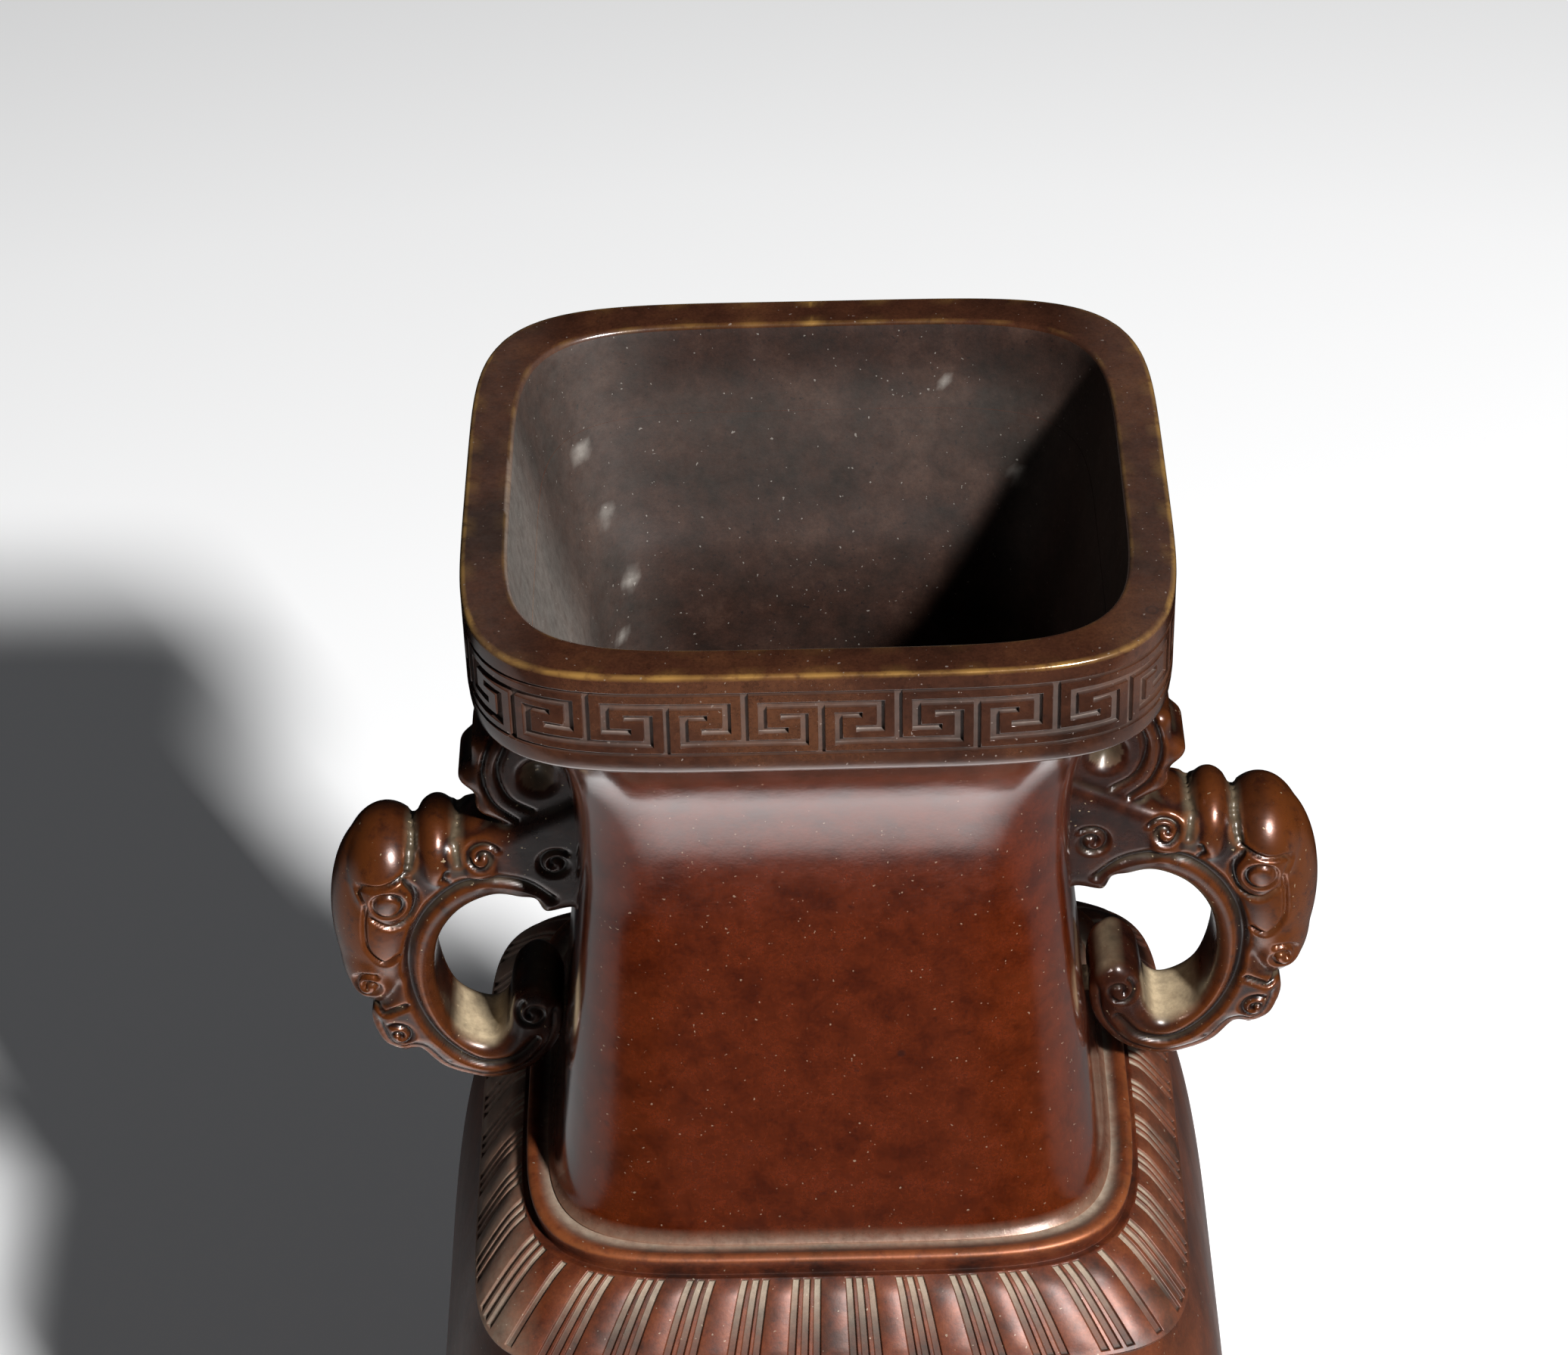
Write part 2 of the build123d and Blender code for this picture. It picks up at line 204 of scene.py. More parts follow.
def bend_round(sheet, section, squarer=None, crowd=0.035):
    """Bends a flat sheet round the vase: x runs round the plan, y along the section, z outwards.

    squarer(height) is added to the plan's power and, in millimetres, to its depth. The pattern is
    a little closer in the middle of each side than at the corners, by crowd. The cast surface is
    slightly uneven above the foot's band.
    """
    places = places_of(sheet) / MM
    far = walked(section)
    steps = np.diff(section, axis=0)
    steps /= np.linalg.norm(steps, axis=1)[:, None]
    outward = np.stack([steps[:, 1], -steps[:, 0]], axis=1)
    outward = (np.vstack([outward[-1:], outward]) + np.vstack([outward, outward[:1]])) / 2
    half = np.interp(places[:, 1], far, section[:, 0])
    height = np.interp(places[:, 1], far, section[:, 1])
    out = np.interp(places[:, 1], far, outward[:, 0])
    rise = np.interp(places[:, 1], far, outward[:, 1])
    long = np.hypot(out, rise)
    turn = np.linspace(-np.pi, np.pi, 4097)
    power = plan_power
    mouth_deep = mouth_half - depth_less
    reach = np.abs(np.cos(turn) / mouth_half) ** power + np.abs(np.sin(turn) / mouth_deep) ** power
    reach = reach ** (-1 / power)
    ring = np.stack([reach * np.cos(turn), reach * np.sin(turn)], axis=1)
    share = walked(ring) / walked(ring)[-1]
    width = places[:, 0].max() - places[:, 0].min()
    part = places[:, 0] / width
    once_a_side = 4 * 2 * np.pi
    part -= crowd / once_a_side * np.sin(once_a_side * part)
    angle = np.interp((part + 0.25) % 1.0, share, turn)
    cosine, sine = np.cos(angle), np.sin(angle)
    extra = squarer(height) if squarer else 0.0
    deep = half - depth_less + extra
    power = plan_power + extra
    reach = (np.abs(cosine / half) ** power + np.abs(sine / deep) ** power) ** (-1 / power)
    x, y = reach * cosine, reach * sine
    normal_x = np.sign(x) * np.abs(x / half) ** (power - 1) / half
    normal_y = np.sign(y) * np.abs(y / deep) ** (power - 1) / deep
    size = np.hypot(normal_x, normal_y)
    slow = np.sin(x / 17 + 1.0) + np.sin(y / 13 + height / 21) + np.sin(height / 15 + x / 29)
    off = places[:, 2] - np.where(height > foot_band_top + 3, unevenness * (slow + 3), 0)
    x += off * out / long * normal_x / size
    y += off * out / long * normal_y / size
    bent = np.stack([x, y, height + off * rise / long], axis=1) * MM
    sheet.data.vertices.foreach_set("co", bent.ravel())
    bpy.context.view_layer.objects.active = sheet
    bpy.ops.object.mode_set(mode="EDIT")
    bpy.ops.mesh.select_all(action="SELECT")
    bpy.ops.mesh.remove_doubles(threshold=0.01 * MM)
    bpy.ops.mesh.normals_make_consistent(inside=False)
    bpy.ops.object.mode_set(mode="OBJECT")
    bpy.ops.object.shade_smooth_by_angle(angle=smooth_angle)


def mark_wear(piece, worn=None, dust=None, spread=1, film=1.0):
    """Marks the edges that wear bright, the hollows that stay dark, and where dust lies.

    worn(edge, x, y, z) is how bright a place is rubbed, from how much of an edge it is, and
    dust(x, y, z, up, out) how much dust it has, from how far its face looks upwards and outwards.
    The bend of each edge is spread to its neighbours by spread rounds, and film is how much dust
    every hollow holds.
    """
    mesh = piece.data
    places = places_of(piece) / MM
    normals = np.empty(len(places) * 3)
    mesh.vertices.foreach_get("normal", normals)
    normals = normals.reshape(-1, 3)
    ends = np.empty(len(mesh.edges) * 2, int)
    mesh.edges.foreach_get("vertices", ends)
    first, last = ends.reshape(-1, 2).T
    count = np.maximum(np.bincount(ends, minlength=len(places)), 1)
    offset = places[last] - places[first]
    pull = np.stack([
        np.bincount(first, offset[:, i], len(places)) - np.bincount(last, offset[:, i], len(places))
        for i in range(3)
    ], axis=1)
    lengths = (offset**2).sum(axis=1)
    lengths = np.bincount(first, lengths, len(places)) + np.bincount(last, lengths, len(places))
    bend = np.clip(-2 * (pull * normals).sum(axis=1) / np.maximum(lengths, 1e-6), -2, 2)

    def spread_out(values, rounds):
        for _ in range(rounds):
            around = np.bincount(first, values[last], len(places))
            around += np.bincount(last, values[first], len(places))
            values = 0.4 * values + 0.6 * around / count
        return values

    bend = spread_out(bend, spread)
    broad = spread_out(bend, 12)
    up = normals[:, 2]
    full_bend = 0.35
    full_hollow = 0.25
    marks = {
        "worn": np.clip(bend / full_bend, 0, 1),
        "hollow": np.clip(-bend / full_bend, 0, 1),
        "dust": film * np.clip(-broad / full_hollow, 0, 1) * np.clip(up * 1.5, 0, 1),
    }
    if worn is not None:
        marks["worn"] = worn(marks["worn"], *places.T)
    if dust is not None:
        out = (normals[:, :2] * places[:, :2]).sum(axis=1) / np.maximum(np.hypot(*places[:, :2].T), 1e-6)
        marks["dust"] = np.maximum(marks["dust"], dust(*places.T, up, out))
    for name, amount in marks.items():
        layer = mesh.attributes.new(name, "FLOAT", "POINT")
        layer.data.foreach_set("value", np.clip(amount, 0, 1).astype(np.float32))


def linear(hex_code):
    """A colour written as six hex digits, as the linear values that a shader takes."""
    parts = [int(hex_code[i : i + 2], 16) / 255 for i in (0, 2, 4)]
    return (*[p / 12.92 if p <= 0.04045 else ((p + 0.055) / 1.055) ** 2.4 for p in parts], 1.0)


def new_material(name):
    """An empty material, and the node tree that its finish is built in."""
    material = bpy.data.materials.new(name)
    material.use_nodes = True
    material.node_tree.nodes.clear()
    return material, material.node_tree


def add(tree, kind, inputs=None, stops=(), out=0, **settings):
    """Adds a shader node with its settings and links, and gives one of its outputs.

    Each input is another node's socket, a value or a hex colour. The stops of a colour ramp are
    (place, grey or hex colour).
    """
    made = tree.nodes.new("ShaderNode" + kind)
    for name, value in settings.items():
        setattr(made, name, value)
    for name, value in (inputs or {}).items():
        if isinstance(value, bpy.types.NodeSocket):
            tree.links.new(value, made.inputs[name])
        else:
            made.inputs[name].default_value = linear(value) if isinstance(value, str) else value
    for i, (place, value) in enumerate(stops):
        band = made.color_ramp.elements
        point = band[i] if i < 2 else band.new(place)
        point.position = place
        point.color = linear(value) if isinstance(value, str) else (value, value, value, 1.0)
    return made.outputs[out] if made.outputs else None


def cloudy(tree, size_mm, detail, roughness, stops=(), shift=(0.0, 0.0, 0.0)):
    """A cloudy pattern whose clouds are about this many millimetres across, with its stops."""
    coordinates = add(tree, "TexCoord", out="Object")
    placed = add(tree, "Mapping", {"Vector": coordinates, "Location": shift})
    clouds = add(tree, "TexNoise", {
        "Vector": placed, "Scale": 1 / (size_mm * MM), "Detail": detail, "Roughness": roughness,
    }, out="Fac")
    return add(tree, "ValToRGB", {"Fac": clouds}, stops) if stops else clouds


def laid_over(tree, under, over, share, strength=1.0):
    """A colour with another laid over it where the share is high, up to this strength."""
    share = add(tree, "Math", {0: share, 1: strength}, operation="MULTIPLY", use_clamp=True)
    return add(tree, "Mix", {0: share, 6: under, 7: over}, out=2, data_type="RGBA")


# Cast bronze, patinated brown, waxed and rubbed: the eye sees a dark skin with red brown metal
# under it, bright at the edges that hands reach, with grey dust in the hollows. Its pits and grain
# are drawn coarser than the real ones, so that they show.
def patinated_bronze(
    name, dark, middle, light, worn, dust,
    metallic=0.2, smooth=0.16, clouds_mm=24.0, coat=1.0, pitted=0.45,
):
    """The finish of the cast pieces, from its five colours.

    smooth is the skin's lowest roughness, coat how much wax lies on it, and pitted how dark its
    finest pits are. Each pattern's size is in millimetres.
    """
    material, tree = new_material(name)
    colour = cloudy(tree, clouds_mm, 6.0, 0.66, ((0.34, dark), (0.52, middle), (0.7, light)))
    smudges = cloudy(tree, 5, 8.0, 0.75, ((0.52, 0.0), (0.66, 1.0)), shift=(0.3, 0.1, 0.2))
    colour = laid_over(tree, colour, dark, smudges, 0.45)
    spots = cloudy(tree, 9, 9.0, 0.8, ((0.63, 0.0), (0.67, 1.0)), shift=(0.05, 0.4, 0.1))
    colour = laid_over(tree, colour, "201111", spots, 0.5)
    pits = cloudy(tree, 1.1, 4.0, 0.7, ((0.62, 0.0), (0.7, 1.0)))
    colour = laid_over(tree, colour, "160C0B", pits, pitted)
    between_marks = 19 * MM
    place = add(tree, "TexCoord", out="Object")
    cells = add(tree, "TexVoronoi", {"Vector": place, "Scale": 1 / between_marks}, out="Distance")
    marks = add(tree, "ValToRGB", {"Fac": cells}, ((0.03, 0.25), (0.045, 1.0), (0.055, 1.0), (0.07, 0.0)))
    colour = laid_over(tree, colour, "251614", marks, 0.55)
    grain = cloudy(tree, 0.6, 4.0, 0.8, ((0.34, 0.66), (0.62, 1.0)))
    colour = add(
        tree, "Mix", {0: 1.0, 6: colour, 7: grain}, out=2, data_type="RGBA", blend_type="MULTIPLY",
    )
    hollow = add(tree, "Attribute", out="Fac", attribute_name="hollow")
    colour = laid_over(tree, colour, "110908", hollow, 0.75)
    patchy = cloudy(tree, 2.5, 5.0, 0.65, ((0.32, 0.25), (0.5, 1.0)))
    edge = add(tree, "Attribute", out="Fac", attribute_name="worn")
    edge = add(tree, "Math", {0: edge, 1: patchy}, operation="MULTIPLY", use_clamp=True)
    colour = laid_over(tree, colour, worn, edge)
    motes = cloudy(tree, 0.8, 1.0, 0.5, ((0.755, 0.0), (0.765, 1.0)), shift=(0.7, 0.2, 0.4))
    colour = laid_over(tree, colour, dust, motes, 0.5)
    lying = cloudy(tree, 2.5, 6.0, 0.75, ((0.3, 0.55), (0.62, 1.0)))
    groove = add(tree, "Attribute", out="Fac", attribute_name="groove")
    powder = add(tree, "Attribute", out="Fac", attribute_name="dust")
    powder = add(tree, "Math", {0: powder, 1: groove}, operation="MAXIMUM", use_clamp=True)
    powder = add(tree, "Math", {0: powder, 1: lying}, operation="MULTIPLY", use_clamp=True)
    colour = laid_over(tree, colour, dust, powder)
    rough = cloudy(tree, 7, 8.0, 0.75, ((0.35, smooth), (0.65, smooth + 0.08)))
    rough = laid_over(tree, rough, "E8E8E8", powder)
    unwaxed = add(tree, "ValToRGB", {"Fac": groove}, ((0.0, 0.0), (0.04, 1.0)))
    rough = laid_over(tree, rough, "D8D8D8", unwaxed, 0.7)
    rubbed = add(tree, "Math", {0: edge, 1: 0.7}, operation="MULTIPLY", use_clamp=True)
    metal = add(tree, "MapRange", {"Value": powder, "To Min": metallic, "To Max": 0.0})
    metal = add(tree, "Math", {0: metal, 1: rubbed}, operation="ADD", use_clamp=True)
    bare = add(tree, "Math", {0: unwaxed, 1: coat}, operation="MULTIPLY", use_clamp=True)
    wax = add(tree, "MapRange", {"Value": powder, "To Min": coat, "To Max": 0.0})
    wax = add(tree, "Math", {0: wax, 1: bare}, operation="SUBTRACT", use_clamp=True)
    beaten = cloudy(tree, 9, 2.0, 0.5)
    tooth = cloudy(tree, 0.8, 4.0, 0.6)
    relief = add(tree, "Math", {0: beaten, 1: 5.0, 2: tooth}, operation="MULTIPLY_ADD")
    bump = add(tree, "Bump", {"Height": relief, "Strength": 0.3, "Distance": 0.00008})
    face = add(tree, "BsdfPrincipled", {
        "Base Color": colour, "Metallic": metal, "Roughness": rough, "Normal": bump,
        "Coat Weight": wax, "Coat Roughness": smooth,
    })
    add(tree, "OutputMaterial", {"Surface": face})
    return material


def line_inside(piece, material, least=0.05, below=np.inf):
    """Gives the faces that look at the vase's middle the rough finish of its inside.

    least is how squarely a face has to look there, and below the height that it lies under.
    """
    piece.data.materials.append(material)
    middles = face_middles(piece)
    normals = np.empty(len(middles) * 3)
    piece.data.polygons.foreach_get("normal", normals)
    outward = (normals.reshape(-1, 3)[:, :2] * middles[:, :2]).sum(axis=1)
    inward = outward < -least * np.hypot(*middles[:, :2].T)
    inward &= middles[:, 2] < below
    piece.data.polygons.foreach_set("material_index", inward.astype(np.int32))


def settle(piece, material, node):
    """Gives a finished piece its material and its place in the frame."""
    piece.data.materials.clear()
    piece.data.materials.append(material)
    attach(piece, "root")
    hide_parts(node)


# Lightly waxed and rubbed, so that it looks orange brown with a broad, soft shine.
shoulder_bronze = patinated_bronze(
    "cast bronze with waxed orange brown patina", "34160C", "622B14", "743C20", "D88048", "AE9F8B",
    smooth=0.42, clouds_mm=9.0, coat=0.15,
)
# Left as it came from the mould, without wax: rough, pitted, grey brown and dull.
inner_bronze = patinated_bronze(
    "cast bronze, unpolished and dusty inside", "20140E", "342018", "483228", "705746", "A09A92",
    metallic=0.1, smooth=0.5, clouds_mm=12.0, coat=0.0, pitted=0.9,
)

foot_band_top = 22.0
foot_outer = [
    (58.0, 22.0), (55.4, 24.0), (52.6, 28.6), (50.3, 33.0), (48.0, 39.5), (46.6, 46.0), (46.5, 49.0),
]
foot_inner = [(42.9, 61.9), (42.9, 48.0), (44.4, 39.5), (46.7, 33.0), (49.0, 28.6), (51.8, 24.0)]
foot_half = 58.0
foot_section = rounded([
    (54.4, 0.0, 0.8), (foot_half, 0.0, 1.2), (foot_half, 21.4, 0.9), (56.9, 22.2),
    *smooth_line(foot_outer, 4)[3:-1],
    (46.5, 53.6, 0.6), (50.4, 55.0, 1.6), (51.0, 58.5, 2.4), (50.4, 62.0, 1.6), (42.9, 62.0),
    *smooth_line(foot_inner, 4)[1:], (54.2, 20.0), (54.4, 9.6), (54.4, 3.0),
])
face_first = np.argmax(foot_section[:, 0] > foot_half - 0.1)
face_top = walked(foot_section)[face_first] + foot_band_top - foot_section[face_first, 1]
foot = flat_sheet(
    "foot_casting", fret_columns(),
    stations(foot_section, [face_top - down for down in fret_lines_down]),
)
cut_fret(foot, face_top)
bend_round(foot, foot_section)
wear_edges(foot, width=0.07)
mark_wear(foot, dust=lambda x, y, z, up, out: 0.35 * np.clip((z - 53.6) / 2, 0, 1) * (z < 60))
settle(foot, shoulder_bronze, "foot")
line_inside(foot, inner_bronze)

# Base plate: a flat bronze plate that closes the foot from below. It is soldered up against a
# ledge inside the foot. Nobody polishes it, so it looks matt, dark and a little green.
underside, tree = new_material("unpolished bronze plate, oxidised")
stain = cloudy(tree, 12, 6.0, 0.65, ((0.35, "1D1510"), (0.6, "37281E"), (0.75, "484837")))
tarnish = cloudy(tree, 1.0, 4.0, 0.55)
bump = add(tree, "Bump", {"Height": tarnish, "Strength": 0.5, "Distance": 0.0002})
face = add(tree, "BsdfPrincipled", {"Base Color": stain, "Metallic": 0.5, "Roughness": 0.6, "Normal": bump})
add(tree, "OutputMaterial", {"Surface": face})
nodes["base_plate"].data.materials.clear()
nodes["base_plate"].data.materials.append(underside)

# Belly: the wide, hollow bronze casting between the foot and the shoulder.
# Its thinner rims are let into the foot below and the shoulder above, and soldered there.
belly_wall = 3.6
belly_outer = [
    (48.5, 62.0), (58.5, 75.4), (66.9, 92.2), (73.9, 115.8), (77.0, 146.0), (76.5, 170.7),
    (74.6, 191.3), (71.0, 210.3), (65.2, 228.4),
]
belly_line = smooth_line(belly_outer, 6)
belly_section = rounded([
    *belly_line, (63.2, 228.4), (63.2, 232.4), (61.6, 232.4),
    *[(half - belly_wall, height) for half, height in belly_line[::-3]],
    (44.9, 58.0), (46.5, 58.0), (46.5, 62.0),
])
plain_columns = np.linspace(-round_plan / 2, round_plan / 2, 241)
belly = flat_sheet("belly_casting", plain_columns, stations(belly_section, longest=4.0))
bend_round(belly, belly_section)
mark_wear(belly, dust=lambda x, y, z, up, out: (
    0.3 * np.clip((z - 223.0) / 5, 0, 1) + 0.4 * np.clip((65.0 - z) / 2.5, 0, 1)
))
# Lightly waxed and rubbed less than the shoulder: an even, darker brown with a soft shine.
belly_bronze = patinated_bronze(
    "cast bronze with brown patina, less rubbed", "411E10", "572913", "69331A", "C0703C", "AE9F8B",
    metallic=0.1, smooth=0.36, clouds_mm=12.0, coat=0.15,
)
settle(belly, belly_bronze, "belly")
line_inside(belly, inner_bronze)

# Shoulder: a bronze ring cast with a raised ledge round the neck's foot, over a skirt of petals.
# It sits on the belly's rim. Three grooves part each petal from the next, with one alone at each
# corner.
petal_pitch = 9.46
groove_groups = 10
groove_pitch = 1.95
groove_half = 0.66
groove_depth = 0.55
petal_relief = 0.22
one_side = round_plan / 4
ovolo = smooth_line([
    (57.3, 239.7), (58.4, 239.0), (59.8, 237.8), (61.5, 235.6), (63.4, 232.8), (65.3, 229.8), (66.5, 227.9),
], 3)
shoulder_section = rounded([
    (62.0, 228.0), (65.4, 227.0), (66.3, 227.3), *ovolo[::-1], (56.0, 239.3), (56.2, 240.1, 0.4),
    (56.6, 242.8, 0.8), (55.1, 243.6, 0.8), (53.3, 242.5, 0.8), (51.8, 242.9), (51.8, 241.2),
    (47.9, 241.2), (47.9, 237.0, 1.0), (58.0, 234.6, 2.0), (62.0, 232.6),
])
hand = np.random.default_rng(5)
grooves = []
group_slip = 0.25
groove_slip = 0.08
for side in range(4):
    side_middle = -round_plan / 2 + one_side * side
    grooves.append(side_middle + one_side / 2)
    for group in range(groove_groups):
        middle = (group - groove_groups / 2 + 0.5) * petal_pitch + hand.uniform(-group_slip, group_slip)
        for groove in (-1, 0, 1):
            place = side_middle + middle + groove * groove_pitch + hand.uniform(-groove_slip, groove_slip)
            grooves.append((place + round_plan / 2) % round_plan - round_plan / 2)
grooves = np.sort(grooves)
petal_lines = np.concatenate([grooves - groove_half, grooves + groove_half])
gaps = np.diff(grooves, append=grooves[0] + round_plan)
wide = gaps > 1.5 * groove_pitch
for share in (0.3, 0.5, 0.7):
    petal_lines = np.append(petal_lines, grooves[wide] + gaps[wide] * share)
inner_lines = sorted(line for line in petal_lines if abs(line) < round_plan / 2 - 0.1)
petal_lines = [-round_plan / 2, *inner_lines, round_plan / 2]
shoulder_far = walked(shoulder_section)
petal_first = shoulder_far[np.argmin(np.abs(shoulder_section - ovolo[-1]).sum(axis=1))] + 1.0
petal_last = shoulder_far[np.argmin(np.abs(shoulder_section - ovolo[0]).sum(axis=1))]
shoulder = flat_sheet(
    "petal_shoulder", petal_lines,
    stations(shoulder_section, [
        petal_first + 0.35, petal_last - 0.7, petal_last - 0.3,
    ], longest=1.0, closest=0.25),
)


def from_grooves(across):
    """How far each place across the sheet is from the nearest groove's middle."""
    apart = (across[:, None] - grooves + round_plan / 2) % round_plan - round_plan / 2
    return np.abs(apart).min(axis=1)


places = places_of(shoulder) / MM
beside = from_grooves(places[:, 0]) - groove_half
rising = np.clip((places[:, 1] - petal_first) / 1.5, 0, 1)
falling = np.clip((petal_last - places[:, 1]) / 3, 0, 1)
places[:, 2] += petal_relief * np.clip((beside - 0.1) / 0.9, 0, 1) * rising * falling
shoulder.data.vertices.foreach_set("co", (places * MM).ravel())
middles = face_middles(shoulder)
in_groove = from_grooves(middles[:, 0]) < groove_half * 0.95
in_groove &= (middles[:, 1] > petal_first) & (middles[:, 1] < petal_last - 0.3)
sink_faces(shoulder, in_groove, groove_depth, slope=0.16, dusty=lambda along: (
    0.06 + 0.8 * np.clip((along - petal_first) / 12.5, 0, 1) ** 1.8
))


def squarer_skirt(height):
    """The skirt of petals grows squarer and deeper towards its lower edge."""
    return 2.0 * np.clip((240 - height) / 12, 0, 1) * (height > 200)


bend_round(shoulder, shoulder_section, squarer_skirt, crowd=0.0)
wear_edges(shoulder, width=0.1)


def shoulder_wear(edge, x, y, z):
    """The ledge's raised edge is rubbed bright, and the petals only a little."""
    return edge * np.clip(1.4 - np.abs(z - 242.9) / 0.45, 0.12, 1)


def shoulder_dust_and_reflection(x, y, z, up, out):
    """Dust in the hollow round the neck's foot, and a pale film on the petals: a little dust, with more on
    the left as a painted grey reflection.
    """
    power = 5.6
    plan = (np.abs(x) ** power + np.abs(y * 56.5 / 51.5) ** power) ** (1 / power)
    hollow = 0.42 + 0.4 * np.clip(np.abs(x) / 50, 0, 1) ** 4
    hollow *= np.clip((54.6 - plan) / 2.6, 0, 1) ** 1.5 * (z > 242)
    # Painted reflection: the thicker pale film on the left petals stands for their grey reflection on the
    # shaded side.
    petals = np.where(x < 0, 0.35, 0.06) * np.clip((np.abs(x) - 53) / 7, 0, 1) * (z < 239.5)
    return np.maximum(hollow, petals)


mark_wear(shoulder, shoulder_wear, shoulder_dust_and_reflection, film=0.08)
settle(shoulder, shoulder_bronze, "shoulder")

# Neck: the tall, waisted bronze casting that carries the mouth and the handles.
# Its foot stands in the shoulder's seat, and its top is a thinner spigot for the mouth collar.
neck_outer = [
    (52.5, 243.0), (51.3, 244.8), (50.5, 248.0), (49.4, 255.4), (47.6, 271.0), (45.6, 291.0),
    (44.15, 308.7), (43.9, 317.6), (44.3, 328.9), (45.75, 338.5), (48.0, 346.0), (50.95, 352.7),
    (54.2, 359.4),
]
neck_wall = 3.6
neck_line = smooth_line(neck_outer, 6)
below_flare = neck_line[-19::-1]
neck_section = rounded([
    (51.5, 241.2), *neck_line, (50.1, 359.4), (50.1, 363.4), (48.7, 363.4), (47.7, 359.4),
    (46.1, 352.7), (44.4, 346.0), *[(half - neck_wall, height) for half, height in below_flare],
    (47.9, 241.2),
])
neck = flat_sheet("neck_casting", plain_columns, stations(neck_section, longest=2.0))
# Smooth and waxed, so that it looks deep red under a clear shine.
neck_bronze = patinated_bronze(
    "cast bronze with waxed deep red patina", "461706", "5A2007", "64240A", "AC5C2F", "AE9A84",
    smooth=0.12, clouds_mm=7.0,
)
bend_round(neck, neck_section)

# Small crusts on the back wall inside: (x, z, radius).
crusts = (
    (-42, 360, 2.5), (-38, 347, 2), (-34, 334, 2.5), (-36, 323, 1.5), (-31, 312, 2), (24, 368, 1.5),
    (37, 352, 2),
)


def dust_inside(x, y, z, up, out):
    """Dust on the inner walls: most on the left one, a film below the lip, and a few crusts."""
    left = np.clip((-x - 24) / 16, 0, 1) * np.clip((z - 240) / 80, 0, 1)
    left *= 0.1 + 0.34 * np.clip((24 - y) / 20, 0, 1)
    film = 0.08 * np.clip((z - 325) / 45, 0, 1) * np.clip((373 - z) / 8, 0, 1)
    inside = np.maximum(left, film)
    for crust_x, crust_z, radius in crusts:
        away = np.hypot(x - crust_x, z - crust_z) / (0.75 * radius)
        inside = np.maximum(inside, 0.75 * np.clip(1.2 - away, 0, 1) * (y > 25))
    return inside * (out < -0.3)


def neck_dust(x, y, z, up, out):
    """Dust inside, and low on the outside, where the neck meets the shoulder."""
    at_foot = 0.4 * np.clip((245.5 - z) / 2.5, 0, 1) * (out > 0)
    return np.maximum(dust_inside(x, y, z, up, out), at_foot)


mark_wear(neck, worn=lambda edge, x, y, z: 0.5 * edge * (z < 300), dust=neck_dust)
settle(neck, neck_bronze, "neck")
line_inside(neck, inner_bronze)

# Mouth collar: the thick bronze rim, cast with a flat lip and let down over the neck's spigot.
# Its outer face is cut with a band of key fret, and its lip's edge is worn to a golden line, whose bright
# colour is partly a painted highlight.
mouth_top = 380.0
collar_section = rounded([
    (50.1, 359.4), (59.7, 359.4, 1.1), (mouth_half, 362.0, 0.8), (mouth_half, mouth_top, 1.1),
    (52.2, mouth_top, 0.9), (50.2, 370.0, 4.0), (48.62, 362.7), (50.1, 362.7),
])
face_first = np.argmax(collar_section[:, 0] > mouth_half - 0.05)
face_top = walked(collar_section)[face_first] + mouth_top - collar_section[face_first, 1]
collar = flat_sheet(
    "mouth_collar_casting", fret_columns(),
    stations(collar_section, [face_top - down for down in fret_lines_down]),
)
# Waxed over a dark skin, so that it looks dark brown, with golden metal where it is worn through. Its
# brightest gold, on the lip's edge, is partly a painted highlight.
collar_bronze = patinated_bronze(
    "cast bronze with waxed dark brown patina", "2D1911", "4A2A1C", "603A24", "FFC468", "A4978E",
)
cut_fret(collar, face_top)
bend_round(collar, collar_section)
wear_edges(collar, width=0.07)


def lip_wear_and_highlight(edge, x, y, z):
    """The lip's outer edge is rubbed to bright metal, partly a painted highlight, and its inner edge a third
    as much.
    """
    at_lip = np.clip(1.7 - np.abs(z - mouth_top + 0.3) / 0.3, 0, 1)
    outer_edge = np.maximum(np.abs(x) / 57, np.abs(y) / 52) > 1
    return np.clip(2.8 * edge - 0.25, 0, 1) * at_lip * np.where(outer_edge, 1.0, 0.35)


def lip_dust(x, y, z, up, out):
    """Dust inside, and a thin film on the lip's two ends."""
    film = 0.07 * np.clip((np.abs(x) - 44) / 10, 0, 1) * (z > mouth_top - 1)
    return np.maximum(dust_inside(x, y, z, up, out), film)


mark_wear(collar, lip_wear_and_highlight, lip_dust)
settle(collar, collar_bronze, "mouth_collar")
line_inside(collar, inner_bronze, least=0.4, below=mouth_top - 0.8)

